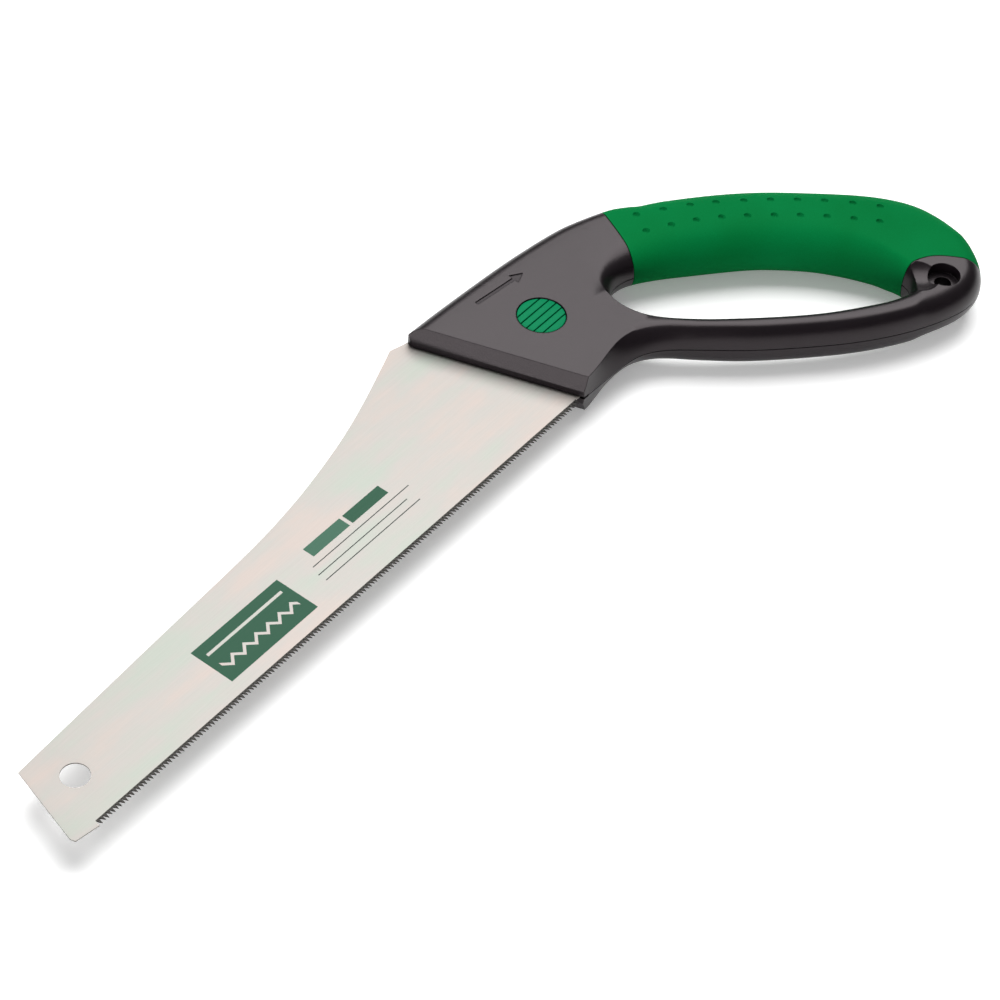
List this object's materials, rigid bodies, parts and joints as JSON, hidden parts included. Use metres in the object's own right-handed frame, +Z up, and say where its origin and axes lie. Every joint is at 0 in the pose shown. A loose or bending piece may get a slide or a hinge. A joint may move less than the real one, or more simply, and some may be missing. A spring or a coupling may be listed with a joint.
{
  "type": "japanese pull saw",
  "caption": "Pull saw with a fine-toothed blade of thin steel, closed D handle in two black shells with a green rubber grip, and a push-button blade release",
  "frame": {"origin": "Centre of the saw's bounding box in plan, on the plane that the grip's thickest point touches when the saw lies on its side", "axes": "+X along the tooth line from the blade's tip to the handle, +Y from the teeth to the blade's back, +Z up through the side that carries the release button"},
  "size_m": [0.4348, 0.1474, 0.024],
  "materials": {
    "blade_steel": "satin",
    "black_plastic": "fine moulded texture",
    "green_rubber": "matte",
    "green_plastic": "satin",
    "spring_steel": "satin",
    "zinc_steel": "zinc plated"
  },
  "bodies": {
    "handle": {"upper_shell": "black_plastic", "lower_shell": "black_plastic", "grip_sleeve": "green_rubber", "latch_spring": "spring_steel", "latch_screw_1": "zinc_steel", "latch_screw_2": "zinc_steel", "shell_screw_1": "zinc_steel", "shell_screw_2": "zinc_steel", "shell_screw_3": "zinc_steel", "shell_screw_4": "zinc_steel"},
    "blade": {"blade": "blade_steel"},
    "button": {"release_button": "green_plastic"}
  },
  "joints": [
    {"name": "blade_slide", "type": "slide", "parent": "handle", "child": "blade", "axis": [-1, 0, 0], "range_m": [0, 0.058], "deforming": ["latch_spring"]},
    {"name": "button_press", "type": "slide", "parent": "handle", "child": "button", "axis": [0, 0, -1], "range_m": [0, 0.002], "stiffness_N_per_m": 600, "springref_m": -0.004, "deforming": ["latch_spring"]}
  ]
}
